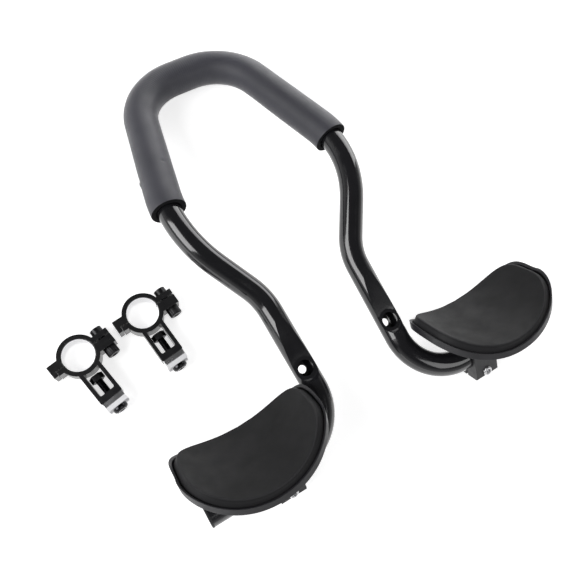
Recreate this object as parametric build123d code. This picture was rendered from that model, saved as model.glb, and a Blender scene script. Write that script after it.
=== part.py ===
from build123d import *
import math
import os

# Aero handlebar extension: a bent bar with a foam grip, two cupped arm rests and two handlebar clamps.
# Millimetres, +Z up. It lies as set down on a floor, with the loop towards +Y.

# Clearances
SCREW_ROOM = 0.1  # radial, a screw or tube in its hole
FOAM_ROOM = 0.1  # radial, the tube in the foam
SEAT_ROOM = 0.05  # between curved faces that lie on each other

# Bar tube, points of the right leg on the tube's axis
TUBE_R = 10.0
TUBE_WALL = 1.8
TAIL_END_X = 156.0
ELBOW_X = 39.3
ELBOW_BEND = 41.0
WAIST_X = 42.5
WAIST_Y = 122.1
WAIST_RISE = 10.5  # above the tail
WAIST_BEND = 50.0
SHOULDER_X = 83.1
SHOULDER_Y = 193.1
SHOULDER_RISE = 33.0  # above the tail
SHOULDER_BEND = 83.0
FRONT_X = 47.2
FRONT_Y = 344.9
FRONT_BEND = 48.8

# Pressed flats with the bolt holes
HOLE_Y = 57.2
PRESS_DEPTH = 5.4
PRESS_FLOOR = 12.0  # level stretch round the hole
PRESS_RAMP = 42.0  # long slope ahead of it
PRESS_HEEL = 3.2  # short round slope behind it
PRESS_MARGIN = 0.2  # heel's foot past the flat's edges
PRESS_ROUND = 5.0
ACCESS_R = 6.4  # hole in the pressed wall, which lets the bolt's head in
BOLT_HOLE_R = 3.4

# Foam grip
FOAM_R = 14.8
FOAM_LENGTH = 344.0  # along the tube

# End plugs
PLUG_FLANGE = 2.0
PLUG_SPIGOT = 12.0
PLUG_ROUND = 0.8

# Arm rests: X across, Y along the forearm, Z out of the pad, from the tail's axis
REST_X = 107.5
REST_TILT = 47.4  # nose down, degrees
PAD_TOP = 29.6  # height of the pad's surface over the tail's axis
PAD_SHIFT = -5.0  # widest line of the pad, from the axis
PAD_HALF = 50.4
PAD_REAR = 36.5
PAD_FRONT = 34.0
PAD_CROWN = 5.0  # bow of the front edge
REAR_SQUARENESS = 2.16
FRONT_SQUARENESS = 5.0
CUP_R = 74.0
PAD_THICK = 7.5
TAPE_THICK = 1.0
TAPE_INSET = 7.0
TRAY_THICK = 3.0
LIP_ROOM = 0.4  # between the pad and the tray's lip
LIP_WALL = 1.5
LIP_HEIGHT = 2.4
OUTLINE_POINTS = 32

# Brackets under the trays
BRACKET_X = -12.5  # from the pad's middle
BRACKET_WIDTH = 22.0
BRACKET_HALF = 12.5
BRACKET_TOP = 16.5
BRACKET_DROP = 19.5
BRACKET_ROUND = 2.0
SLIT = 2.0
BOSS_MARGIN = 2.0
PINCH_DROP = 14.6
PINCH_R = 2.5
PINCH_HEAD_R = 4.2
PINCH_HEAD = 4.5
PINCH_HEAD_SINK = 3.0
PINCH_NUT_FLATS = 8.0
PINCH_NUT = 3.6
PINCH_NUT_SINK = 0.8
TRAY_SCREW_GAP = 14.0
TRAY_SCREW_R = 2.2
TRAY_SCREW_HEAD_R = 3.8
TRAY_SCREW_HEAD = 1.8
TRAY_SCREW_SEAT = 2.6  # boss left under the head
TRAY_SCREW_BITE = 4.5  # into the bracket

# Handlebar clamps, each lying on its side: stem along -Y, ring axis along Z
CLAMP_WIDTH = 14.0
BORE_R = 12.7
RING_WALL = 3.8
SPLIT = 1.2
BORE_CHAMFER = 0.6
STEM_WIDTH = 19.0
STEM_END = 42.2
STEM_SIDE = 3.2
STEM_FLOOR = 5.5
STEM_ROUND = 1.2
EAR_BODY = 8.5
EAR_STRAP = 5.0
STRAP_SCREW_X = 21.8
EAR_MARGIN = 7.0  # ear past the strap screw's axis
STRAP_SCREW_R = 3.0
STRAP_HEAD_R = 5.2
STRAP_HEAD = 7.0
STRAP_NUT_R = 4.9
STRAP_NUT = 5.4
HOOK_REACH = 24.0
HOOK_TOP = 7.0
HOOK_LEG = 3.6
HOOK_DROP = 3.8
HOOK_ROOM = 0.4
TONGUE_DEPTH = 4.4
RISER_R = 3.0
RISER_HEAD_R = 6.0
RISER_HEAD = 4.0
RISER_DOME = 2.2
RISER_NUT_FLATS = 10.0
RISER_NUT = 5.0
SADDLE_WIDTH = 17.6
SADDLE_THICK = 8.0
SADDLE_SIDE_GAP = 0.5
SOCKET_FLATS = 4.0
SOCKET_DEPTH = 2.4
CLAMP_1_X = -187.7
CLAMP_1_Y = 152.8
CLAMP_1_TURN = 11.2  # degrees
CLAMP_2_X = -129.8
CLAMP_2_Y = 160.2
CLAMP_2_TURN = 7.1  # degrees

ALONG_X = Rotation(0, 90, 0)
ALONG_Y = Rotation(-90, 0, 0)

tilt = math.radians(REST_TILT)
edge_half = BRACKET_HALF - BRACKET_ROUND
edge_drop = BRACKET_DROP - BRACKET_ROUND
tail_z = edge_half * math.sin(tilt) + edge_drop * math.cos(tilt) + BRACKET_ROUND  # bracket edges on the floor
cup_axis = PAD_TOP + CUP_R
tape_top = CUP_R + PAD_THICK + SEAT_ROOM
tray_top = tape_top + TAPE_THICK + SEAT_ROOM
nut_seat = BRACKET_HALF - PINCH_NUT_SINK - PINCH_NUT
ring_r = BORE_R + RING_WALL
ear_reach = STRAP_SCREW_X + EAR_MARGIN


def rod(radius, start, end):
    """Cylinder on the Z axis between two heights."""
    return Pos(0, 0, (start + end) / 2) * Cylinder(radius, end - start)


def hexagon(flats, start, end):
    """Hexagonal prism on the Z axis between two heights."""
    return Pos(0, 0, start) * extrude(RegularPolygon(flats / 2, 6, major_radius=False), end - start)


def rectangle(left, right, low, high):
    """Rectangle given by its four sides."""
    return Pos((left + right) / 2, (low + high) / 2) * Rectangle(right - left, high - low)


def socket_screw(radius, head_radius, head, reach):
    """Socket-head screw on the Z axis: underside of the head at 0, shank up to reach."""
    screw = rod(head_radius, -head, 0) + rod(radius, 0, reach)
    return screw - hexagon(SOCKET_FLATS, -head, SOCKET_DEPTH - head)


# Bar: the right leg's points, mirrored for the left leg
right_leg = [
    (TAIL_END_X, 0, tail_z),
    (ELBOW_X, 0, tail_z),
    (WAIST_X, WAIST_Y, tail_z + WAIST_RISE),
    (SHOULDER_X, SHOULDER_Y, tail_z + SHOULDER_RISE),
    (FRONT_X, FRONT_Y, FOAM_R),
]
left_leg = [(-x, y, z) for x, y, z in reversed(right_leg)]
right_bends = [ELBOW_BEND, WAIST_BEND, SHOULDER_BEND, FRONT_BEND]
bar_path = FilletPolyline(*right_leg, *left_leg, radius=right_bends + right_bends[::-1])


def sleeve(path, outer, inner):
    """Round sleeve swept along a path."""
    section = Plane(origin=path @ 0, z_dir=path % 0) * (Circle(outer) - Circle(inner))
    return sweep(section, path=path)


elbow = Vector(*right_leg[1])
run = (Vector(*right_leg[2]) - elbow).normalized()
hole_centre = elbow + run * (HOLE_Y / run.Y)
run_side = run.cross(Vector(0, 0, 1)).normalized()
hole_plane = Plane(origin=hole_centre, x_dir=run, z_dir=run_side.cross(run))


def press_shape(grow):
    """The press: level round the hole, a long ramp ahead, a round sloped heel behind, its skin grown by a wall."""
    level = TUBE_R - PRESS_DEPTH
    top = level + 2 * PRESS_DEPTH
    front = PRESS_FLOOR / 2
    side = make_face(Polyline((0, level), (front, level), (front + 2 * PRESS_RAMP, top), (0, top), close=True))
    side = fillet(side.vertices().group_by(Axis.Y)[0].sort_by(Axis.X)[-1], PRESS_ROUND)
    if grow > 0:
        side = offset(side, grow)
    ramp = Plane.XZ * extrude(side, 2 * TUBE_R, both=True)
    lean = PRESS_HEEL / PRESS_DEPTH
    flat_half = math.sqrt(TUBE_R**2 - level**2)
    foot = flat_half + PRESS_MARGIN + grow * math.hypot(1, lean) - grow * lean
    height = top + grow - (level - grow)
    heel = Pos(0, 0, level - grow + height / 2) * Cone(foot, foot + height * lean, height)
    return ramp + heel


def press_flat(tube, plane):
    """Press a flat into the tube's upper side and drill it: a wide hole above, the bolt's hole below."""
    press = press_shape(0)
    pressed_wall = press_shape(TUBE_WALL) - press
    inside = ALONG_X * Cylinder(TUBE_R - TUBE_WALL / 2, 4 * (PRESS_RAMP + PRESS_FLOOR))
    holes = rod(ACCESS_R, 0, TUBE_R) + rod(BOLT_HOLE_R, -2 * TUBE_R, 0)
    return tube - plane.location * press + plane.location * (pressed_wall & inside) - plane.location * holes


bar_tube = sleeve(bar_path, TUBE_R, TUBE_R - TUBE_WALL)
left_hole_plane = Plane(
    origin=(-hole_centre.X, hole_centre.Y, hole_centre.Z),
    x_dir=(-run.X, run.Y, run.Z),
    z_dir=(-hole_plane.z_dir.X, hole_plane.z_dir.Y, hole_plane.z_dir.Z),
)
bar_tube = press_flat(press_flat(bar_tube, hole_plane), left_hole_plane)

foam_share = FOAM_LENGTH / bar_path.length / 2
foam_path = bar_path.trim(0.5 - foam_share, 0.5 + foam_share)
foam_grip = sleeve(foam_path, FOAM_R, TUBE_R + FOAM_ROOM)

plug = rod(TUBE_R, 0, PLUG_FLANGE) + rod(TUBE_R - TUBE_WALL - SCREW_ROOM, -PLUG_SPIGOT, 0)
plug = fillet(plug.edges().group_by(Axis.Z)[-1], PLUG_ROUND)
end_plug = Pos(TAIL_END_X, 0, tail_z) * ALONG_X * plug


def rest_outline(grow, spread):
    """The arm rest's D outline, each point moved across by what spread gives there."""
    half = PAD_HALF + grow
    points = []
    for step in range(OUTLINE_POINTS):
        angle = 2 * math.pi * step / OUTLINE_POINTS
        at_front = math.sin(angle) > 0
        power = 2 / (FRONT_SQUARENESS if at_front else REAR_SQUARENESS)
        depth = (PAD_FRONT if at_front else PAD_REAR) + grow
        across = half * math.copysign(abs(math.cos(angle)) ** power, math.cos(angle))
        along = depth * math.copysign(abs(math.sin(angle)) ** power, math.sin(angle))
        bow = PAD_CROWN * (1 - (across / half) ** 2) if at_front else 0
        points.append((across * spread(across), PAD_SHIFT + along + bow))
    return make_face(Spline(*points, periodic=True))


def pad_cut(grow):
    """Body with the rest's outline whose walls all point to the cup's axis, as the bent pad's do."""
    outlines = []
    for height in (CUP_R / 2, CUP_R * 1.5):
        outline = rest_outline(grow, lambda across: height / math.sqrt(CUP_R**2 - across**2))
        outlines.append(Pos(0, 0, cup_axis - height) * outline)
    return loft(outlines, ruled=True)


def tray_cut(grow):
    """Body with the outline of the pad's underside whose walls stand straight, as out of a mould."""
    outline = rest_outline(grow, lambda across: (CUP_R + PAD_THICK) / CUP_R)
    return extrude(outline, cup_axis)


def cup_shell(inner, outer):
    """Cylindrical shell round the cup's axis."""
    length = 4 * PAD_HALF
    return Pos(0, 0, cup_axis) * ALONG_Y * (Cylinder(outer, length) - Cylinder(inner, length))


def tray_screw_places():
    """Heads' seats of the two screws that hold the tray on its bracket."""
    seat = BRACKET_TOP + TRAY_SCREW_SEAT
    return [Pos(BRACKET_X, side * TRAY_SCREW_GAP / 2, seat) for side in (-1, 1)]


def arm_tray():
    """Cupped tray with a raised lip and a flat boss on its underside for the bracket."""
    outline = tray_cut(LIP_ROOM + LIP_WALL)
    floor = outline & cup_shell(tray_top, tray_top + TRAY_THICK)
    border = outline - tray_cut(LIP_ROOM)
    lip = border & cup_shell(tray_top - LIP_HEIGHT, tray_top + TRAY_THICK)
    boss_width = BRACKET_WIDTH + 2 * BOSS_MARGIN
    boss_depth = 2 * (BRACKET_HALF + BOSS_MARGIN)
    boss = extrude(RectangleRounded(boss_width, boss_depth, BOSS_MARGIN), CUP_R / 2)
    boss = Pos(BRACKET_X, 0, BRACKET_TOP) * boss
    boss = boss - Pos(0, 0, cup_axis) * ALONG_Y * Cylinder(tray_top + TRAY_THICK / 2, 4 * PAD_HALF)
    tray = floor + lip + boss
    for place in tray_screw_places():
        tray = tray - place * rod(TRAY_SCREW_R + SCREW_ROOM, -CUP_R, 0)
        tray = tray - place * rod(TRAY_SCREW_HEAD_R + SCREW_ROOM, 0, CUP_R / 2)
    return tray


def tray_bracket():
    """Split block on the tube's tail: bore, slit and pinch ears below, flat seat above."""
    section = rectangle(-BRACKET_HALF, BRACKET_HALF, -BRACKET_DROP, BRACKET_TOP)
    section = fillet(section.vertices().group_by(Axis.Y)[0], BRACKET_ROUND)
    section = section - Circle(TUBE_R + SCREW_ROOM) - rectangle(-SLIT / 2, SLIT / 2, -2 * BRACKET_DROP, 0)
    upright = Plane(origin=(BRACKET_X - BRACKET_WIDTH / 2, 0, 0), x_dir=(0, 1, 0), z_dir=(1, 0, 0))
    block = upright.location * extrude(section, BRACKET_WIDTH)
    pinch = rod(PINCH_R + SCREW_ROOM, -2 * BRACKET_HALF, 2 * BRACKET_HALF)
    pinch = pinch + rod(PINCH_HEAD_R + SCREW_ROOM, -2 * BRACKET_HALF, PINCH_HEAD_SINK - BRACKET_HALF)
    pinch = pinch + hexagon(PINCH_NUT_FLATS + 2 * SCREW_ROOM, nut_seat, 2 * BRACKET_HALF)
    block = block - pinch_place() * pinch
    for place in tray_screw_places():
        block = block - place * rod(TRAY_SCREW_R + SCREW_ROOM, -TRAY_SCREW_SEAT - TRAY_SCREW_BITE, 0)
    return block


def pinch_place():
    """The pinch screw's axis, across the slit under the tube."""
    return Pos(BRACKET_X, 0, -PINCH_DROP) * ALONG_Y


def bracket_screw():
    """Socket-head pinch screw, its head sunk in the bracket's rear ear."""
    seat = PINCH_HEAD_SINK - BRACKET_HALF
    screw = socket_screw(PINCH_R, PINCH_HEAD_R, PINCH_HEAD, nut_seat + PINCH_NUT - seat)
    return pinch_place() * Pos(0, 0, seat) * screw


def bracket_nut():
    """Hexagon nut in the bracket's front ear."""
    nut = hexagon(PINCH_NUT_FLATS, nut_seat, nut_seat + PINCH_NUT)
    return pinch_place() * (nut - rod(PINCH_R + SCREW_ROOM, 0, 2 * BRACKET_HALF))


def tray_screws():
    """The two screws that hold the tray on its bracket."""
    reach = TRAY_SCREW_SEAT + TRAY_SCREW_BITE
    screw = rod(TRAY_SCREW_HEAD_R, 0, TRAY_SCREW_HEAD) + rod(TRAY_SCREW_R, -reach, 0)
    return Compound(children=[(place * screw).solid() for place in tray_screw_places()])


rest_pieces = {
    "arm_pad": pad_cut(0) & cup_shell(CUP_R, CUP_R + PAD_THICK),
    "pad_tape": pad_cut(-TAPE_INSET) & cup_shell(tape_top, tape_top + TAPE_THICK),
    "arm_tray": arm_tray(),
    "tray_bracket": tray_bracket(),
    "tray_screws": tray_screws(),
    "bracket_screw": bracket_screw(),
    "bracket_nut": bracket_nut(),
}
rest_plane = Plane(origin=(REST_X, 0, tail_z), x_dir=(1, 0, 0), z_dir=(0, math.sin(tilt), math.cos(tilt)))


# Clamps: pieces of one clamp in its own frame
def clamp_body():
    """Lower half ring, its ears and the windowed stem, cut from one extrusion."""
    lower = rectangle(-ear_reach, ear_reach, -STEM_END, -SPLIT / 2)
    stem = rectangle(-STEM_WIDTH / 2, STEM_WIDTH / 2, -STEM_END, -BORE_R / 2)
    stem = fillet(stem.vertices().group_by(Axis.Y)[0], STEM_ROUND)
    ear = rectangle(0, ear_reach, -EAR_BODY, -SPLIT / 2)
    tongue = rectangle(HOOK_LEG + HOOK_ROOM - HOOK_REACH, 0, -TONGUE_DEPTH, -SPLIT / 2)
    window_half = STEM_WIDTH / 2 - STEM_SIDE
    window = rectangle(-window_half, window_half, STEM_FLOOR - STEM_END, -BORE_R)
    window = fillet(window.vertices().group_by(Axis.Y)[0], STEM_ROUND) - Circle(ring_r)
    profile = (Circle(ring_r) & lower) + stem + ear + tongue - Circle(BORE_R) - window
    body = chamfer_bore(extrude(profile, CLAMP_WIDTH))
    body = body - riser_place() * rod(RISER_R + SCREW_ROOM, -STEM_END, -ring_r)
    return body - strap_place() * rod(STRAP_SCREW_R + SCREW_ROOM, -2 * EAR_BODY, 0)


def clamp_strap():
    """Upper half ring with its ear and the hook that holds it on the body's tongue."""
    upper = rectangle(-ear_reach, ear_reach, SPLIT / 2, 2 * ring_r)
    ear = rectangle(0, ear_reach, SPLIT / 2, EAR_STRAP)
    hook = rectangle(-HOOK_REACH, 0, SPLIT / 2, HOOK_TOP)
    leg = rectangle(-HOOK_REACH, HOOK_LEG - HOOK_REACH, -HOOK_DROP, HOOK_TOP)
    profile = (Circle(ring_r) & upper) + ear + hook + leg - Circle(BORE_R)
    strap = chamfer_bore(extrude(profile, CLAMP_WIDTH))
    return strap - strap_place() * rod(STRAP_SCREW_R + SCREW_ROOM, 0, 2 * EAR_BODY)


def chamfer_bore(half_ring):
    """Break the bore's two edges."""
    rounds = half_ring.edges().filter_by(GeomType.CIRCLE)
    return chamfer([edge for edge in rounds if abs(edge.radius - BORE_R) < SCREW_ROOM], BORE_CHAMFER)


def riser_place():
    """The riser bolt's axis, along the stem."""
    return Pos(0, 0, CLAMP_WIDTH / 2) * ALONG_Y


def strap_place():
    """The strap screw's axis, through both ears."""
    return Pos(STRAP_SCREW_X, 0, CLAMP_WIDTH / 2) * ALONG_Y


def tube_saddle():
    """Seat between the stem's end and the tube, hollowed to the tube's round."""
    height = CLAMP_WIDTH - 2 * SADDLE_SIDE_GAP
    block = Pos(0, -STEM_END - SADDLE_THICK / 2, CLAMP_WIDTH / 2) * Box(SADDLE_WIDTH, SADDLE_THICK, height)
    hollow = TUBE_R - math.sqrt(TUBE_R**2 - (height / 2) ** 2)
    tube_axis = -STEM_END - SADDLE_THICK - TUBE_R + hollow
    block = block - Pos(0, tube_axis, CLAMP_WIDTH / 2) * ALONG_X * Cylinder(TUBE_R, 2 * SADDLE_WIDTH)
    return block - riser_place() * rod(RISER_R + SCREW_ROOM, -2 * STEM_END, 0)


def riser_bolt():
    """Domed socket bolt through the saddle and the stem's floor into the nut."""
    seat = -STEM_END - SADDLE_THICK
    reach = SADDLE_THICK + STEM_END - ring_r - STEM_SIDE
    bolt = socket_screw(RISER_R, RISER_HEAD_R, RISER_HEAD, reach)
    bolt = fillet(bolt.edges().filter_by(GeomType.CIRCLE).group_by(Axis.Z)[0], RISER_DOME)
    return riser_place() * Pos(0, 0, seat) * bolt


def riser_nut():
    """Nut caught between the window's side walls."""
    top = -ring_r - STEM_SIDE
    nut = hexagon(RISER_NUT_FLATS, top - RISER_NUT, top) - rod(RISER_R + SCREW_ROOM, -STEM_END, 0)
    return riser_place() * nut


def strap_screw():
    """Socket-head screw that closes the ring."""
    screw = socket_screw(STRAP_SCREW_R, STRAP_HEAD_R, STRAP_HEAD, EAR_BODY + EAR_STRAP + STRAP_NUT)
    return strap_place() * Pos(0, 0, -EAR_BODY) * screw


def strap_nut():
    """Round nut on the strap's ear."""
    nut = rod(STRAP_NUT_R, EAR_STRAP, EAR_STRAP + STRAP_NUT)
    return strap_place() * (nut - rod(STRAP_SCREW_R + SCREW_ROOM, 0, 2 * EAR_BODY))


clamp_pieces = {
    "clamp_body": clamp_body(),
    "clamp_strap": clamp_strap(),
    "strap_screw": strap_screw(),
    "strap_nut": strap_nut(),
    "tube_saddle": tube_saddle(),
    "riser_bolt": riser_bolt(),
    "riser_nut": riser_nut(),
}

# Assembly: the arm rests mirrored about the bar's middle plane, the clamps lying beside the left leg
pieces = {"bar_tube": bar_tube, "foam_grip": foam_grip}
pieces["end_plug_right"] = end_plug
pieces["end_plug_left"] = mirror(end_plug, about=Plane.YZ)
for name, piece in rest_pieces.items():
    pieces[name + "_right"] = rest_plane.location * piece
    pieces[name + "_left"] = mirror(rest_plane.location * piece, about=Plane.YZ)
clamp_places = [(CLAMP_1_X, CLAMP_1_Y, CLAMP_1_TURN), (CLAMP_2_X, CLAMP_2_Y, CLAMP_2_TURN)]
for number, (x, y, turn) in enumerate(clamp_places, start=1):
    for name, piece in clamp_pieces.items():
        pieces[f"{name}_{number}"] = Pos(x, y, 0) * Rotation(0, 0, turn) * piece

# The origin goes to the middle of the whole part's footprint, on the floor
boxes = [piece.bounding_box() for piece in pieces.values()]
middle_x = (min(box.min.X for box in boxes) + max(box.max.X for box in boxes)) / 2
middle_y = (min(box.min.Y for box in boxes) + max(box.max.Y for box in boxes)) / 2
lowest = min(box.min.Z for box in boxes)
to_origin = Pos(-middle_x, -middle_y, -lowest)

os.makedirs("parts", exist_ok=True)
for name, piece in pieces.items():
    export_step(to_origin * piece, f"parts/{name}.step")
print("moved by", to_origin.position, "tail height", tail_z, "tube length", bar_path.length)
print("right hole", to_origin.position + hole_centre, "axis", hole_plane.z_dir)
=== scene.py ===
import math

import bmesh
import bpy
from mathutils import Matrix, Vector, noise


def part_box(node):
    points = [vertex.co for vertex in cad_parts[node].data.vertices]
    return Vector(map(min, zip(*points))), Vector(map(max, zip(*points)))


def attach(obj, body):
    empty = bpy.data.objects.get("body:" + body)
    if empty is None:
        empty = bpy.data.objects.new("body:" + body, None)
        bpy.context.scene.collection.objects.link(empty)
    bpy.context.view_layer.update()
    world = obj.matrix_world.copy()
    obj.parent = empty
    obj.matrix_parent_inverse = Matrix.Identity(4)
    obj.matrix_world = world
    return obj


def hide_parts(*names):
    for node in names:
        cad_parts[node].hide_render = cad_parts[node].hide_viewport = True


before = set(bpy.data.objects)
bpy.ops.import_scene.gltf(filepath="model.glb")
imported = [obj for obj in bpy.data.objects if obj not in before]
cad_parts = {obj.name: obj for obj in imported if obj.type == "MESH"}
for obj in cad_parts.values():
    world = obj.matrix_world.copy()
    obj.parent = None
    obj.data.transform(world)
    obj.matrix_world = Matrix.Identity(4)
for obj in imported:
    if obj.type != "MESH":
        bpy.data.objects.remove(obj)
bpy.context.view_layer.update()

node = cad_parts

# The bar: one thin-walled aluminium tube, bent to a U with tails turned out, gloss black enamel.
# A flat is pressed into each leg and drilled for the riser clamp's bolt.
# Enamel flows out smooth and thick, so its surface only ripples a little and is hazed where it was handled.
MM = 0.001
TUBE_R = 10.0 * MM
ENAMEL_RIPPLE = 0.04 * MM
NOISE_LOW = 0.3
NOISE_HIGH = 0.7
EDGE_SAMPLES = 6
tube_low, tube_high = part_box("bar_tube")
middle_x = (tube_low.x + tube_high.x) / 2
tail_y = tube_low.y + TUBE_R


def new_finish(name, colour, roughness, metallic=0.0):
    """A material whose shader holds this finish's plain values; gives its node tree and shader too."""
    material = bpy.data.materials.new(name)
    material.use_nodes = True
    shader = material.node_tree.nodes["Principled BSDF"]
    shader.inputs["Base Color"].default_value = (*colour, 1)
    shader.inputs["Roughness"].default_value = roughness
    shader.inputs["Metallic"].default_value = metallic
    return material, material.node_tree, shader


def add_node(tree, kind, **values):
    """A shader node with some of its inputs set; spaces in input names are written as underscores."""
    made = tree.nodes.new("ShaderNode" + kind)
    for key, value in values.items():
        made.inputs[key.replace("_", " ")].default_value = value
    return made


def surface_place(tree):
    """Where a point of the surface is in the frame that all pieces share."""
    return tree.nodes.new("ShaderNodeTexCoord").outputs["Object"]


def grain(tree, scale, detail=2.0, stretch=(1, 1, 1)):
    """Noise fixed to the piece, so many grains to the metre, drawn out along the axes by stretch."""
    mapping = add_node(tree, "Mapping", Scale=stretch)
    tree.links.new(surface_place(tree), mapping.inputs["Vector"])
    made = add_node(tree, "TexNoise", Scale=scale, Detail=detail)
    tree.links.new(mapping.outputs["Vector"], made.inputs["Vector"])
    return made.outputs["Fac"]


def spread(tree, value, low, high, start=NOISE_LOW, end=NOISE_HIGH):
    """Values from start to end, spread over low to high; start and end suit noise unless given."""
    made = add_node(tree, "MapRange", From_Min=start, From_Max=end, To_Min=low, To_Max=high)
    tree.links.new(value, made.inputs["Value"])
    return made.outputs["Result"]


def tint(tree, value, dark, light):
    """Colour that goes from dark to light with a noise value."""
    ramp = tree.nodes.new("ShaderNodeValToRGB")
    for element, position, colour in zip(ramp.color_ramp.elements, (NOISE_LOW, NOISE_HIGH), (dark, light)):
        element.position = position
        element.color = (*colour, 1)
    tree.links.new(value, ramp.inputs["Fac"])
    return ramp.outputs["Color"]


def mottle(tree, shader, scale, dark, light, detail=4):
    """Let the colour wander from dark to light, so many patches to the metre."""
    tree.links.new(tint(tree, grain(tree, scale, detail), dark, light), shader.inputs["Base Color"])


def haze(tree, shader, scale, smooth, rough, detail=4):
    """Let the roughness wander from smooth to rough, so many patches to the metre."""
    tree.links.new(spread(tree, grain(tree, scale, detail), smooth, rough), shader.inputs["Roughness"])


def relief(tree, shader, height, depth, edge_round=0.0):
    """Bump of this depth in metres on the shader, over edges rounded by edge_round."""
    bump = add_node(tree, "Bump", Strength=1.0, Distance=depth)
    tree.links.new(height, bump.inputs["Height"])
    if edge_round > 0:
        rounded = add_node(tree, "Bevel", Radius=edge_round)
        rounded.samples = EDGE_SAMPLES
        tree.links.new(rounded.outputs["Normal"], bump.inputs["Normal"])
    tree.links.new(bump.outputs["Normal"], shader.inputs["Normal"])


def coat_node(name, material):
    """Put a finish on a solid that stays as it is."""
    piece = node[name]
    piece.data.materials.clear()
    piece.data.materials.append(material)


enamel, tree, shader = new_finish("black_enamel", (0.011, 0.011, 0.013), 0.15)
shader.inputs["Coat Weight"].default_value = 0.6
shader.inputs["Coat Roughness"].default_value = 0.04
mottle(tree, shader, 35, (0.009, 0.009, 0.0105), (0.013, 0.013, 0.015))
haze(tree, shader, 60, 0.09, 0.22, detail=5)
relief(tree, shader, grain(tree, 120, 1), ENAMEL_RIPPLE)
coat_node("bar_tube", enamel)

# The grip: a sleeve of dark grey closed-cell foam, pushed over the loop and cut square at both ends.
# Fine rings left by the extruder's die show round the front, and its skin is softly pitted.
# Handling has left a nick and a dent on one leg.
FOAM_R = 14.8 * MM
FOAM_LENGTH = 344.0 * MM
FOAM_STEP = 1.0 * MM
FOAM_AROUND = 96
FOAM_SWELL = 0.18 * MM
SWELLS_A_METRE = 45
SKIN_DEPTH = 0.5 * MM
SKIN_PITS = 0.1 * MM
CUT_PITS = 0.2 * MM
FOAM_SHARP = math.radians(40)
MOUTH_R = TUBE_R + 0.7 * MM
MOUTH_ROUND = 0.3 * MM
ARC_POINTS_LEAST = 8
# A mark's distance from the sleeve's end, turn from the top in degrees, height and width.
FOAM_MARKS = [
    (31.0 * MM, 91, 0.6 * MM, 1.6 * MM),
    (34.0 * MM, 96, 0.9 * MM, 1.4 * MM),
    (37.5 * MM, 88, -1.2 * MM, 1.7 * MM),
    (41.0 * MM, -31, -0.8 * MM, 1.5 * MM),
]
# The corners of a leg's axis from its tail to its S bend, in millimetres: out, forward and above the tail.
LEG_PLAN = [(156.0, 0, 0), (39.3, 0, 0), (42.5, 122.1, 10.5), (83.1, 193.1, 33.0)]
LOOP_CORNER = Vector((47.2 * MM, 344.9 * MM, FOAM_R))
LEG_BENDS = [41.0 * MM, 50.0 * MM, 83.0 * MM, 48.8 * MM]
plug_low, plug_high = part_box("end_plug_right")
tail_z = (plug_low.z + plug_high.z) / 2
leg_corners = [Vector((out * MM, ahead * MM, tail_z + rise * MM)) for out, ahead, rise in LEG_PLAN]
leg_corners.append(LOOP_CORNER)
set_origin = Vector((middle_x, tail_y, 0))


def bent_route(corners, bends, step):
    """Points on a bent tube's axis, straight runs joined by arcs, and how far along each point is."""
    rough = [corners[0]]
    for before, corner, after, bend in zip(corners, corners[1:], corners[2:], bends):
        back = (before - corner).normalized()
        ahead = (after - corner).normalized()
        half = back.angle(ahead) / 2
        centre = corner + (back + ahead).normalized() * bend / math.sin(half)
        start = corner + back * bend / math.tan(half) - centre
        end = corner + ahead * bend / math.tan(half) - centre
        turns = max(ARC_POINTS_LEAST, int(start.angle(end) * bend / step))
        rough += [centre + start.slerp(end, i / turns).normalized() * bend for i in range(turns + 1)]
    rough.append(corners[-1])
    reach = [0.0]
    for a, b in zip(rough, rough[1:]):
        reach.append(reach[-1] + (b - a).length)
    return rough, reach


def along_route(rough, reach, distance):
    """The point at this distance along the route."""
    i = max(j for j in range(len(reach) - 1) if reach[j] <= distance)
    share = (distance - reach[i]) / (reach[i + 1] - reach[i])
    return rough[i].lerp(rough[i + 1], share)


def foam_mark(from_end, turn):
    """How far the nick and the dent move the skin here."""
    moved = 0
    for mark_end, mark_turn, height, width in FOAM_MARKS:
        away = math.hypot(from_end - mark_end, (turn - math.radians(mark_turn)) * FOAM_R)
        moved += height * math.exp(-((away / width) ** 2))
    return moved


def mesh_piece(name, shape):
    """A piece of the scene with this shape as its mesh."""
    piece = bpy.data.objects.new(name, bpy.data.meshes.new(name))
    shape.to_mesh(piece.data)
    shape.free()
    bpy.context.scene.collection.objects.link(piece)
    return piece


both_legs = leg_corners + [Vector((-c.x, c.y, c.z)) for c in reversed(leg_corners)]
rough, reach = bent_route(both_legs, LEG_BENDS + LEG_BENDS[::-1], FOAM_STEP)
rings = int(FOAM_LENGTH / FOAM_STEP)
foam_start = (reach[-1] - FOAM_LENGTH) / 2
foam_axis = []
for i in range(rings + 1):
    foam_axis.append(along_route(rough, reach, foam_start + FOAM_LENGTH * i / rings) + set_origin)
foam_dirs = []
for i in range(rings + 1):
    foam_dirs.append((foam_axis[min(i + 1, rings)] - foam_axis[max(i - 1, 0)]).normalized())
foam_ups = [Vector((0, 0, 1))]
for along in foam_dirs:
    foam_ups.append((foam_ups[-1] - along * foam_ups[-1].dot(along)).normalized())
foam_ups = foam_ups[1:]

# Each row of the sleeve has its ring, its radius and its shift along the axis.
# The rows come out of the bore at one end, go over the skin and in again at the other end.
foam_end = [
    (6, TUBE_R + 0.12 * MM, 0),
    (2, MOUTH_R - MOUTH_ROUND, 0),
    (0, MOUTH_R, 0.2 * MM),
    (0, MOUTH_R + MOUTH_ROUND, 0),
    (0, FOAM_R - 2.4 * MM, 0),
    (0, FOAM_R - 0.4 * MM, 0),
    (0, FOAM_R - 0.12 * MM, 0.12 * MM),
]
foam_profile = foam_end + [(i, FOAM_R, 0) for i in range(1, rings)]
foam_profile += [(rings - i, radius, -shift) for i, radius, shift in reversed(foam_end)]

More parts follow.
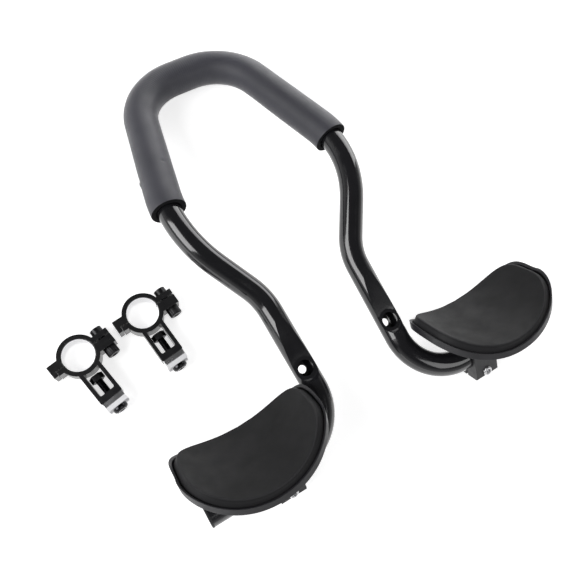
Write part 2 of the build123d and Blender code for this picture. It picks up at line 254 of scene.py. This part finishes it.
foam_mesh = bmesh.new()
uv = foam_mesh.loops.layers.uv.new("foam_skin")
foam_rows = []
for ring, radius, shift in foam_profile:
    out = foam_ups[ring]
    side = foam_dirs[ring].cross(out)
    at = foam_axis[ring] + foam_dirs[ring] * shift
    row = []
    for k in range(FOAM_AROUND):
        turn = 2 * math.pi * k / FOAM_AROUND
        turn = turn if turn < math.pi else turn - 2 * math.pi
        around = out * math.cos(turn) + side * math.sin(turn)
        lump = 0
        if radius > FOAM_R - SKIN_DEPTH:
            lump = FOAM_SWELL * noise.noise((at + around * FOAM_R) * SWELLS_A_METRE)
            lump += foam_mark((rings - ring) * FOAM_STEP, turn)
        row.append(foam_mesh.verts.new(at + around * (radius + lump)))
    foam_rows.append(row)
for i, (row, after) in enumerate(zip(foam_rows, foam_rows[1:])):
    is_skin = len(foam_end) - 2 < i < len(foam_rows) - len(foam_end)
    for k in range(FOAM_AROUND):
        beside = (k + 1) % FOAM_AROUND
        face = foam_mesh.faces.new((row[k], row[beside], after[beside], after[k]))
        face.smooth = True
        face.material_index = 0 if is_skin else 1
        for loop, (a, b) in zip(face.loops, ((i, k), (i, k + 1), (i + 1, k + 1), (i + 1, k))):
            loop[uv].uv = (a * FOAM_STEP, b * 2 * math.pi * FOAM_R / FOAM_AROUND)
bmesh.ops.recalc_face_normals(foam_mesh, faces=foam_mesh.faces)
foam_grip = mesh_piece("foam_sleeve", foam_mesh)
foam_grip.data.set_sharp_from_angle(angle=FOAM_SHARP)

# The die's rings are two millimetres apart, deepest round the front and faint along the legs.
RING_SCALE = 157.0
RINGS_DEEP = 0.7
RINGS_FAINT = 0.1
RINGS_FADE_FROM = 25 * MM
RINGS_FADE_TO = 65 * MM


def figure(tree, operation, *terms):
    """The result of a sum in the shader; a term is a plain number or what another node gives."""
    made = tree.nodes.new("ShaderNodeMath")
    made.operation = operation
    for socket, term in zip(made.inputs, terms):
        if isinstance(term, float):
            socket.default_value = term
        else:
            tree.links.new(term, socket)
    return made.outputs["Value"]


foam, tree, shader = new_finish("grey_foam", (0.043, 0.043, 0.055), 0.54)
shader.inputs["Sheen Weight"].default_value = 1.0
shader.inputs["Sheen Roughness"].default_value = 0.3
shader.inputs["Specular IOR Level"].default_value = 0.6
mottle(tree, shader, 18, (0.036, 0.036, 0.046), (0.05, 0.05, 0.064))
haze(tree, shader, 90, 0.48, 0.6)
skin_place = tree.nodes.new("ShaderNodeUVMap")
skin_place.uv_map = "foam_skin"
die_rings = add_node(tree, "TexWave", Scale=RING_SCALE, Distortion=0.6, Detail=1.0, Detail_Scale=0.6)
die_rings.bands_direction = "X"
tree.links.new(skin_place.outputs["UV"], die_rings.inputs["Vector"])
along_skin = tree.nodes.new("ShaderNodeSeparateXYZ")
tree.links.new(skin_place.outputs["UV"], along_skin.inputs["Vector"])
from_front = figure(tree, "ABSOLUTE", figure(tree, "SUBTRACT", along_skin.outputs["X"], FOAM_LENGTH / 2))
ring_depth = spread(tree, from_front, RINGS_DEEP, RINGS_FAINT, RINGS_FADE_FROM, RINGS_FADE_TO)
ringed = figure(tree, "MULTIPLY_ADD", die_rings.outputs["Fac"], ring_depth, grain(tree, 2600, 3))
relief(tree, shader, ringed, SKIN_PITS)
foam_grip.data.materials.append(foam)
cut_foam, tree, shader = new_finish("cut_foam", (0.012, 0.012, 0.013), 0.9)
shader.inputs["Specular IOR Level"].default_value = 0.15
mottle(tree, shader, 900, (0.006, 0.006, 0.007), (0.018, 0.018, 0.02))
relief(tree, shader, grain(tree, 1800, 3), CUT_PITS)
foam_grip.data.materials.append(cut_foam)
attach(foam_grip, "bar")
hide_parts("foam_grip")

# The end plugs: moulded black plastic, pushed into the tails' open ends up to their flanges.
# They have the fine spark-eroded grain of a small moulding.
PLUG_GRAIN = 0.02 * MM
PLUG_EDGE = 0.3 * MM
plug_plastic, tree, shader = new_finish("plug_plastic", (0.012, 0.012, 0.013), 0.45)
mottle(tree, shader, 90, (0.009, 0.009, 0.01), (0.016, 0.016, 0.017))
haze(tree, shader, 120, 0.38, 0.55)
relief(tree, shader, grain(tree, 1800, 2), PLUG_GRAIN, PLUG_EDGE)
for side in ("left", "right"):
    coat_node("end_plug_" + side, plug_plastic)

# The brackets: split aluminium blocks, satin black paint, pinched on the tails by one cross screw each.
# The paint is a thin spray coat, so it is slightly uneven and grainy.
PAINT_GRAIN = 0.03 * MM
PAINT_EDGE = 0.6 * MM
bracket_black, tree, shader = new_finish("bracket_black", (0.025, 0.025, 0.027), 0.42)
mottle(tree, shader, 80, (0.02, 0.02, 0.022), (0.031, 0.031, 0.033))
haze(tree, shader, 150, 0.34, 0.52)
relief(tree, shader, grain(tree, 2200, 2), PAINT_GRAIN, PAINT_EDGE)
for side in ("left", "right"):
    coat_node("tray_bracket_" + side, bracket_black)

# The pinch screws: zinc-plated socket-head screws with knurled heads, sunk in the brackets' rear ears.
# Their nuts and the tray screws are plated alike, bright with a faint haze.
REST_X = 107.5 * MM
REST_TILT = math.radians(47.4)
BRACKET_X = -12.5 * MM
BRACKET_HALF = 12.5 * MM
PINCH_DROP = 14.6 * MM
PINCH_R = 2.5 * MM
PINCH_HEAD_R = 4.2 * MM
PINCH_HEAD = 4.5 * MM
PINCH_SINK = 3.0 * MM
PINCH_REACH = 21.2 * MM
PINCH_POINT = 0.4 * MM
SOCKET_FLATS = 4.0 * MM
SOCKET_DEPTH = 2.4 * MM
KNURL_DEPTH = 0.28 * MM
KNURL_RIDGES = 24
DOME_STEPS = 9
DOME_SPREAD = 1.3
SCREW_AROUND = 96
SCREW_SHARP = math.radians(32)
ZINC_GRAIN = 0.01 * MM
ZINC_EDGE = 0.2 * MM
rest_forward = Vector((0, math.cos(REST_TILT), -math.sin(REST_TILT)))
rest_out = Vector((0, math.sin(REST_TILT), math.cos(REST_TILT)))


def plain_rim(radius):
    """A round row of a turned piece."""
    return lambda turn: radius


def knurled_rim(radius):
    """A row across straight knurling."""
    return lambda turn: radius - KNURL_DEPTH * (0.5 - 0.5 * math.cos(KNURL_RIDGES * turn))


def hexagon_rim(flats):
    """A row round a hexagonal socket."""
    return lambda turn: flats / 2 / math.cos((turn + math.pi / 6) % (math.pi / 3) - math.pi / 6)


def plain_shank(reach, radius, point):
    """Rows of a screw's plain shank from its bevelled point down to the head."""
    return [(reach, plain_rim(radius - point)), (reach - point, plain_rim(radius)), (0, plain_rim(radius))]


def socket_head(radius, head, dome=0.0):
    """Rows of a screw's head from under its rim to the bottom of the socket, heights falling from 0."""
    under_round = 0.3 * MM
    bevel = 0.35 * MM
    socket_corner = SOCKET_FLATS / 2 / math.cos(math.pi / 6)
    rows = [(0, plain_rim(radius - 0.2 * MM))]
    if dome > 0:
        rows.append((-under_round, plain_rim(radius)))
        rows.append((dome - head, plain_rim(radius)))
        for i in range(1, DOME_STEPS):
            turn = math.pi / 2 * i / DOME_STEPS
            reach = radius - dome * DOME_SPREAD * (1 - math.cos(turn))
            rows.append((dome - head - dome * math.sin(turn), plain_rim(reach)))
    else:
        rows.append((-under_round, knurled_rim(radius)))
        rows.append((bevel * 2 - head, knurled_rim(radius)))
        rows.append((bevel - head, plain_rim(radius - 0.3 * MM)))
        rows.append((bevel * 0.3 - head, plain_rim(radius - 0.55 * MM)))
    rows.append((-head, plain_rim(radius * 0.74)))
    rows.append((-head, plain_rim(socket_corner + 0.25 * MM)))
    rows.append((0.2 * MM - head, hexagon_rim(SOCKET_FLATS)))
    rows.append((SOCKET_DEPTH - head, hexagon_rim(SOCKET_FLATS)))
    rows.append((SOCKET_DEPTH + 0.5 * MM - head, plain_rim(SOCKET_FLATS * 0.12)))
    return rows


def turned_piece(name, rows, place):
    """A closed mesh turned about Z from rows of heights and rims, then put in its place."""
    shape = bmesh.new()
    made_rows = []
    for height, rim in rows:
        row = []
        for k in range(SCREW_AROUND):
            turn = 2 * math.pi * k / SCREW_AROUND
            radius = rim(turn)
            at = Vector((radius * math.cos(turn), radius * math.sin(turn), height))
            row.append(shape.verts.new(place @ at))
        made_rows.append(row)
    for row, after in zip(made_rows, made_rows[1:]):
        for k in range(SCREW_AROUND):
            shape.faces.new((row[k - 1], row[k], after[k], after[k - 1]))
    shape.faces.new(made_rows[0])
    shape.faces.new(made_rows[-1])
    bmesh.ops.recalc_face_normals(shape, faces=shape.faces)
    for face in shape.faces:
        face.smooth = True
    piece = mesh_piece(name, shape)
    piece.data.set_sharp_from_angle(angle=SCREW_SHARP)
    return piece


def axis_place(start, along, across):
    """Matrix that puts a turned piece's Z along one direction and its X across it."""
    turned = Matrix((across, along.cross(across), along)).transposed().to_4x4()
    turned.translation = start
    return turned


bright_zinc, tree, shader = new_finish("bright_zinc", (0.7, 0.7, 0.71), 0.24, metallic=1.0)
mottle(tree, shader, 300, (0.6, 0.6, 0.61), (0.78, 0.78, 0.79))
haze(tree, shader, 500, 0.18, 0.34)
relief(tree, shader, grain(tree, 1500, 2), ZINC_GRAIN, ZINC_EDGE)
for name, side in (("left", -1), ("right", 1)):
    coat_node("bracket_nut_" + name, bright_zinc)
    coat_node("tray_screws_" + name, bright_zinc)
    seat = Vector((middle_x + side * (REST_X + BRACKET_X), tail_y, tail_z)) - rest_out * PINCH_DROP
    seat += rest_forward * (PINCH_SINK - BRACKET_HALF)
    rows = plain_shank(PINCH_REACH, PINCH_R, PINCH_POINT) + socket_head(PINCH_HEAD_R, PINCH_HEAD)
    screw = turned_piece("pinch_screw_" + name, rows, axis_place(seat, rest_forward, Vector((1, 0, 0))))
    screw.data.materials.append(bright_zinc)
    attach(screw, "arm_rest_" + name)
    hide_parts("bracket_screw_" + name)

# The trays: cupped shells of satin black plastic with a raised lip, screwed on the brackets.
# Their fine moulded grain is rubbed smoother in patches.
TRAY_GRAIN = 0.03 * MM
TRAY_EDGE = 0.5 * MM
tray_plastic, tree, shader = new_finish("tray_plastic", (0.02, 0.0195, 0.022), 0.4)
shader.inputs["Specular IOR Level"].default_value = 0.4
mottle(tree, shader, 60, (0.016, 0.0155, 0.018), (0.024, 0.0235, 0.027))
haze(tree, shader, 140, 0.32, 0.5)
relief(tree, shader, grain(tree, 1400, 3), TRAY_GRAIN, TRAY_EDGE)
for side in ("left", "right"):
    coat_node("arm_tray_" + side, tray_plastic)

# The pad tape: a thin black self-adhesive sheet that holds each pad in its tray.
# Its foam carrier gives it a dull, slightly grainy black.
TAPE_GRAIN = 0.02 * MM
tape_black, tree, shader = new_finish("tape_black", (0.02, 0.02, 0.02), 0.8)
mottle(tree, shader, 700, (0.015, 0.015, 0.015), (0.028, 0.028, 0.028), detail=3)
relief(tree, shader, grain(tree, 3000, 2), TAPE_GRAIN)
for side in ("left", "right"):
    coat_node("pad_tape_" + side, tape_black)

# The arm pads: moulded black foam with a smooth skin, cupped for the forearm and stuck into the trays.
# The top edge is a fine pressed round. The paler colour along it is a painted highlight, and the paler wall
# is painted bounce light from the floor.
PAD_TOP = 29.6 * MM
PAD_SHIFT = -5.0 * MM
PAD_HALF = 50.4 * MM
PAD_REAR = 36.5 * MM
PAD_FRONT = 34.0 * MM
PAD_CROWN = 5.0 * MM
REAR_SQUARENESS = 2.16
FRONT_SQUARENESS = 5.0
CUP_R = 74.0 * MM
PAD_THICK = 7.5 * MM
PAD_EDGE = 1.2 * MM
PAD_AROUND = 192
TOP_STEPS = 24
EDGE_STEPS = 5
WALL_STEPS = 5
UNDER_STEPS = 8
WALL_PAINTED_BOUNCE = 0.6
PAD_GRAIN = 0.04 * MM


def pad_rim(step):
    """Across and along places of one of the pad's rim points."""
    turn = 2 * math.pi * step / PAD_AROUND
    front = math.sin(turn) > 0
    power = 2 / (FRONT_SQUARENESS if front else REAR_SQUARENESS)
    across = math.copysign(abs(math.cos(turn)) ** power, math.cos(turn))
    along = (PAD_FRONT if front else PAD_REAR) * math.copysign(abs(math.sin(turn)) ** power, math.sin(turn))
    bow = PAD_CROWN * (1 - across**2) if front else 0
    return across * PAD_HALF, along + bow


def pad_point(across, along, depth, side):
    """Place in the set of a pad point this deep under its cupped surface."""
    turn = math.asin(across / CUP_R)
    radius = CUP_R + depth
    height = PAD_TOP + CUP_R - radius * math.cos(turn)
    sideways = side * (REST_X + radius * math.sin(turn))
    start = Vector((middle_x + sideways, tail_y, tail_z))
    return start + rest_forward * (PAD_SHIFT + along) + rest_out * height


pad_foam, tree, shader = new_finish("pad_foam", (0.0095, 0.0095, 0.01), 0.62)
shader.inputs["Specular IOR Level"].default_value = 0.22
shader.inputs["Sheen Weight"].default_value = 0.04
shader.inputs["Sheen Roughness"].default_value = 0.4
# A mesh attribute mixes in a paler colour: a painted highlight along the top edge's round and painted
# bounce light on the wall.
painted_light_attribute = tree.nodes.new("ShaderNodeAttribute")
painted_light_attribute.attribute_name = "painted_edge_wall_light"
pad_tone = tint(tree, grain(tree, 25, 4), (0.0075, 0.0075, 0.008), (0.0115, 0.0115, 0.0125))
painted_light_mix = tree.nodes.new("ShaderNodeMix")
painted_light_mix.data_type = "RGBA"
painted_light_mix.inputs["B"].default_value = (0.024, 0.024, 0.026, 1)
tree.links.new(painted_light_attribute.outputs["Fac"], painted_light_mix.inputs["Factor"])
tree.links.new(pad_tone, painted_light_mix.inputs["A"])
tree.links.new(painted_light_mix.outputs["Result"], shader.inputs["Base Color"])
haze(tree, shader, 70, 0.54, 0.7)
relief(tree, shader, grain(tree, 2400, 2), PAD_GRAIN)

# Each level of a pad has its share of the rim's width, its inset, its depth and how much painted light it
# takes.
# The levels go out over the top, round the edge, down the wall and in under the pad.
rims = [pad_rim(step) for step in range(PAD_AROUND)]
pad_levels = [(i / TOP_STEPS, 0, 0.0, 0) for i in range(1, TOP_STEPS)]
for i in range(EDGE_STEPS + 1):
    turn = math.pi / 2 * i / EDGE_STEPS
    inset = PAD_EDGE * (1 - math.sin(turn))
    # The edge round's painted highlight is strongest half way round it; the wall below takes painted bounce
    # light.
    pad_levels.append((1.0, inset, PAD_EDGE * (1 - math.cos(turn)), math.sin(2 * turn)))
for i in range(1, WALL_STEPS + 1):
    pad_levels.append((1.0, 0.0, PAD_EDGE + (PAD_THICK - PAD_EDGE) * i / WALL_STEPS, WALL_PAINTED_BOUNCE))
pad_levels += [(1 - i / UNDER_STEPS, 0, PAD_THICK, 0) for i in range(1, UNDER_STEPS)]
for name, side in (("left", -1), ("right", 1)):
    pad_mesh = bmesh.new()
    painted_edge_wall_light = pad_mesh.verts.layers.float.new("painted_edge_wall_light")
    rows = []
    for share, inset, depth, painted_light_share in pad_levels:
        row = []
        for across, along in rims:
            keep = share * (1 - inset / math.hypot(across, along))
            vert = pad_mesh.verts.new(pad_point(across * keep, along * keep, depth, side))
            vert[painted_edge_wall_light] = painted_light_share
            row.append(vert)
        rows.append(row)
    top = pad_mesh.verts.new(pad_point(0, 0, 0, side))
    under = pad_mesh.verts.new(pad_point(0, 0, PAD_THICK, side))
    for k in range(PAD_AROUND):
        after = (k + 1) % PAD_AROUND
        pad_mesh.faces.new((top, rows[0][k], rows[0][after]))
        pad_mesh.faces.new((under, rows[-1][after], rows[-1][k]))
        for row, lower in zip(rows, rows[1:]):
            pad_mesh.faces.new((row[k], lower[k], lower[after], row[after]))
    for face in pad_mesh.faces:
        face.smooth = True
    bmesh.ops.recalc_face_normals(pad_mesh, faces=pad_mesh.faces)
    pad = mesh_piece("arm_cushion_" + name, pad_mesh)
    pad.data.materials.append(pad_foam)
    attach(pad, "arm_rest_" + name)
    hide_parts("arm_pad_" + name)

# The riser clamps: black anodised aluminium, sawn from an extruded bar, a hooked strap closing each ring.
# The bores are reamed after anodising, so their walls are bare.
CLAMP_WIDTH = 14.0 * MM
BORE_BARE_R = 12.8 * MM
BARE_BLEND = 0.05 * MM
ANODISED_LINES = 0.02 * MM
ANODISED_EDGE = 0.3 * MM
ALONG_EXTRUSION = (1, 1, 0.06)
# Where each bore stands beside the tails' middle, in millimetres, and its clamp's turn in degrees.
CLAMP_PLACES = [(-187.7, 152.8, 11.2), (-129.8, 160.2, 7.1)]
clamp_frames = []
for number, (x, y, turn) in enumerate(CLAMP_PLACES, start=1):
    bore = Vector((x * MM, y * MM, 0)) + set_origin
    clamp_frames.append(Matrix.Translation(bore) @ Matrix.Rotation(math.radians(turn), 4, "Z"))
    anodised, tree, shader = new_finish(f"anodised_black_{number}", (0.011, 0.011, 0.012), 0.23)
    shader.inputs["Specular IOR Level"].default_value = 1.0
    from_bore = add_node(tree, "Mapping", Location=(-bore.x, -bore.y, 0), Scale=(1, 1, 0))
    tree.links.new(surface_place(tree), from_bore.inputs["Vector"])
    away = add_node(tree, "VectorMath")
    away.operation = "LENGTH"
    tree.links.new(from_bore.outputs["Vector"], away.inputs[0])
    bare = spread(tree, away.outputs["Value"], 1.0, 0.0, BORE_BARE_R - BARE_BLEND, BORE_BARE_R + BARE_BLEND)
    dyed = tint(tree, grain(tree, 90, 4), (0.008, 0.008, 0.009), (0.014, 0.014, 0.015))
    colour = tree.nodes.new("ShaderNodeMix")
    colour.data_type = "RGBA"
    colour.inputs["B"].default_value = (0.72, 0.72, 0.73, 1)
    tree.links.new(bare, colour.inputs["Factor"])
    tree.links.new(dyed, colour.inputs["A"])
    tree.links.new(colour.outputs["Result"], shader.inputs["Base Color"])
    tree.links.new(bare, shader.inputs["Metallic"])
    haze(tree, shader, 220, 0.18, 0.28)
    relief(tree, shader, grain(tree, 900, 2, ALONG_EXTRUSION), ANODISED_LINES, ANODISED_EDGE)
    coat_node(f"clamp_body_{number}", anodised)
    coat_node(f"clamp_strap_{number}", anodised)

# The strap screws that close the rings: black-oxide socket screws with knurled heads.
# The round nuts on the straps' ears and the hexagon nuts in the stems' windows have the same oiled black.
STRAP_SCREW_X = 21.8 * MM
STRAP_SCREW_R = 3.0 * MM
STRAP_HEAD_R = 5.2 * MM
STRAP_HEAD = 7.0 * MM
STRAP_SEAT = -8.5 * MM
STRAP_REACH = 18.9 * MM
STRAP_POINT = 0.5 * MM
OXIDE_GRAIN = 0.02 * MM
OXIDE_EDGE = 0.3 * MM
black_oxide, tree, shader = new_finish("black_oxide", (0.022, 0.022, 0.024), 0.32, metallic=0.7)
mottle(tree, shader, 200, (0.015, 0.015, 0.016), (0.03, 0.03, 0.032))
haze(tree, shader, 400, 0.24, 0.42)
relief(tree, shader, grain(tree, 1600, 2), OXIDE_GRAIN, OXIDE_EDGE)
for number, clamp_frame in enumerate(clamp_frames, start=1):
    coat_node(f"strap_nut_{number}", black_oxide)
    coat_node(f"riser_nut_{number}", black_oxide)
    start = Vector((STRAP_SCREW_X, STRAP_SEAT, CLAMP_WIDTH / 2))
    rows = plain_shank(STRAP_REACH, STRAP_SCREW_R, STRAP_POINT) + socket_head(STRAP_HEAD_R, STRAP_HEAD)
    place = clamp_frame @ axis_place(start, Vector((0, 1, 0)), Vector((1, 0, 0)))
    screw = turned_piece(f"ring_screw_{number}", rows, place)
    screw.data.materials.append(black_oxide)
    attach(screw, "bar")
    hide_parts(f"strap_screw_{number}")

# The saddles: bright bare aluminium seats for the tube, held on the stems' ends by the riser bolts.
# They are cut from drawn bar, which leaves faint lines along them.
# The end that takes the tube is a plain matt white instead of metal: a painted reflection of the bright
# light it catches.
SEAT_EDGE = -46.2 * MM
SEAT_BLEND = 0.3 * MM
DRAWN_LINES = 0.004 * MM
SADDLE_EDGE = 0.3 * MM
ALONG_DRAWING = (0.1, 1, 1)
for number, clamp_frame in enumerate(clamp_frames, start=1):
    saddle_name = f"aluminium_with_painted_glare_{number}"
    aluminium_with_painted_glare, tree, shader = new_finish(saddle_name, (0.92, 0.92, 0.94), 0.27, metallic=1.0)
    stem_way = clamp_frame.to_3x3() @ Vector((0, 1, 0))
    seat_edge = clamp_frame.translation.dot(stem_way) + SEAT_EDGE
    along_stem = add_node(tree, "VectorMath")
    along_stem.operation = "DOT_PRODUCT"
    along_stem.inputs[1].default_value = stem_way
    tree.links.new(surface_place(tree), along_stem.inputs[0])
    stem_height = along_stem.outputs["Value"]
    # Metallic away from the seat; on the seat the plain matt white is a painted reflection of bright light.
    metal_beyond_painted_glare = spread(tree, stem_height, 0.0, 1.0, seat_edge - SEAT_BLEND, seat_edge + SEAT_BLEND)
    tree.links.new(metal_beyond_painted_glare, shader.inputs["Metallic"])
    haze(tree, shader, 120, 0.22, 0.32)
    relief(tree, shader, grain(tree, 500, 2, ALONG_DRAWING), DRAWN_LINES, SADDLE_EDGE)
    coat_node(f"tube_saddle_{number}", aluminium_with_painted_glare)

# The riser bolts: domed socket bolts, black chrome, through saddle and stem into the nut.
# Their rolled threads show in the stems' windows.
RISER_R = 3.0 * MM
RISER_HEAD_R = 6.0 * MM
RISER_HEAD = 4.0 * MM
RISER_DOME = 2.2 * MM
RISER_SEAT = -50.2 * MM
RISER_REACH = 30.5 * MM
RISER_POINT = 0.6 * MM
THREAD_PITCH = 1.0 * MM
THREAD_DEPTH = 0.5 * MM
THREAD_LENGTH = 19.0 * MM
THREAD_RUNOUT = 0.4 * MM
ROWS_A_PITCH = 6


def thread_rim(height):
    """A row across a rolled thread at this height, the ridge climbing once round for each pitch."""
    def radius(turn):
        share = (height / THREAD_PITCH - turn / (2 * math.pi)) % 1
        return RISER_R - THREAD_DEPTH * abs(2 * share - 1)
    return radius


black_chrome, tree, shader = new_finish("black_chrome", (0.035, 0.035, 0.038), 0.12, metallic=1.0)
mottle(tree, shader, 260, (0.026, 0.026, 0.028), (0.045, 0.045, 0.048), detail=3)
haze(tree, shader, 400, 0.08, 0.2)
thread_rows = int(THREAD_LENGTH / THREAD_PITCH * ROWS_A_PITCH)
for number, clamp_frame in enumerate(clamp_frames, start=1):
    start = Vector((0, RISER_SEAT, CLAMP_WIDTH / 2))
    rows = [(RISER_REACH, plain_rim(RISER_R - RISER_POINT))]
    for i in range(thread_rows):
        height = RISER_REACH - THREAD_RUNOUT - THREAD_LENGTH * i / thread_rows
        rows.append((height, thread_rim(height)))
    rows.append((RISER_REACH - 2 * THREAD_RUNOUT - THREAD_LENGTH, plain_rim(RISER_R)))
    rows.append((0, plain_rim(RISER_R)))
    rows += socket_head(RISER_HEAD_R, RISER_HEAD, RISER_DOME)
    place = clamp_frame @ axis_place(start, Vector((0, 1, 0)), Vector((1, 0, 0)))
    bolt = turned_piece(f"domed_bolt_{number}", rows, place)
    bolt.data.materials.append(black_chrome)
    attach(bolt, "bar")
    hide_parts(f"riser_bolt_{number}")

# The floor: a wide sheet of matt white paper under the whole set, as in a plain product picture.
# It shows white to the camera and in reflections, and still takes the set's shadows.
SHEET_HALF = 4.0
SHEET_GLOW = 0.7
floor_mesh = bmesh.new()
bmesh.ops.create_grid(floor_mesh, x_segments=1, y_segments=1, size=SHEET_HALF)
floor = mesh_piece("floor", floor_mesh)
sheet, tree, shader = new_finish("white_sheet", (0.8, 0.8, 0.8), 0.9)
shader.inputs["Specular IOR Level"].default_value = 0.0
shader.inputs["Emission Color"].default_value = (1, 1, 1, 1)
ray = tree.nodes.new("ShaderNodeLightPath").outputs
seen = figure(tree, "MAXIMUM", ray["Is Camera Ray"], ray["Is Glossy Ray"])
seen = figure(tree, "MAXIMUM", seen, ray["Is Transmission Ray"])
tree.links.new(figure(tree, "MULTIPLY", seen, SHEET_GLOW), shader.inputs["Emission Strength"])
floor.data.materials.append(sheet)

# The studio: pale walls that darken towards the ceiling, and three large soft lamps.
# One lamp stands on the left, a long low one at the front right, and a weaker one behind.
WALLS_LOW = 0.65
CEILING = 0.06
CEILING_FROM = 0.6
world = bpy.data.worlds.new("studio")
bpy.context.scene.world = world
world.use_nodes = True
tree = world.node_tree
background = tree.nodes["Background"]
background.inputs["Color"].default_value = (1, 1, 1, 1)
wall_height = tree.nodes.new("ShaderNodeSeparateXYZ")
tree.links.new(tree.nodes.new("ShaderNodeTexCoord").outputs["Generated"], wall_height.inputs["Vector"])
walls = spread(tree, wall_height.outputs["Z"], WALLS_LOW, CEILING, 0.0, CEILING_FROM)
tree.links.new(walls, background.inputs["Strength"])


def soft_lamp(name, place, target, size, power):
    """A rectangular soft lamp at this place, facing the target, in metres and watts."""
    lamp = bpy.data.lights.new(name, "AREA")
    lamp.shape = "RECTANGLE"
    lamp.size, lamp.size_y = size
    lamp.energy = power
    holder = bpy.data.objects.new(name, lamp)
    holder.location = place
    holder.rotation_euler = (Vector(target) - Vector(place)).to_track_quat("-Z", "Y").to_euler()
    bpy.context.scene.collection.objects.link(holder)


soft_lamp("key_lamp", place=(-1.1, 0.15, 0.85), target=(0, 0, 0), size=(0.9, 0.9), power=14.0)
soft_lamp("front_lamp", place=(0.9, 0.65, 0.4), target=(0.1, -0.17, 0), size=(1.5, 0.75), power=11.0)
soft_lamp("rear_lamp", place=(0.3, -0.85, 0.95), target=(0, -0.1, 0), size=(0.75, 0.6), power=3.2)

# The camera: above the bar's left side, looking down and forward, as the picture was taken.
# Its place, aim and lens were fitted to the picture, with the tube taken as 20 mm.
SENSOR_WIDTH = 36.0
LENS = 37.5
CAMERA_ROLL = math.radians(25.69)
camera_place = Vector((-150.56 * MM, 27.73 * MM, 490.61 * MM)) + set_origin
camera_aim = Vector((-11.14 * MM, 125.84 * MM, 0)) + set_origin
camera = bpy.data.objects.new("camera", bpy.data.cameras.new("camera"))
camera.data.sensor_width = SENSOR_WIDTH
camera.data.lens = LENS
level_look = (camera_aim - camera_place).to_track_quat("-Z", "Y").to_matrix().to_4x4()
camera.matrix_world = Matrix.Translation(camera_place) @ level_look @ Matrix.Rotation(CAMERA_ROLL, 4, "Z")
bpy.context.scene.collection.objects.link(camera)
bpy.context.scene.camera = camera
bpy.context.scene.view_settings.view_transform = "Standard"
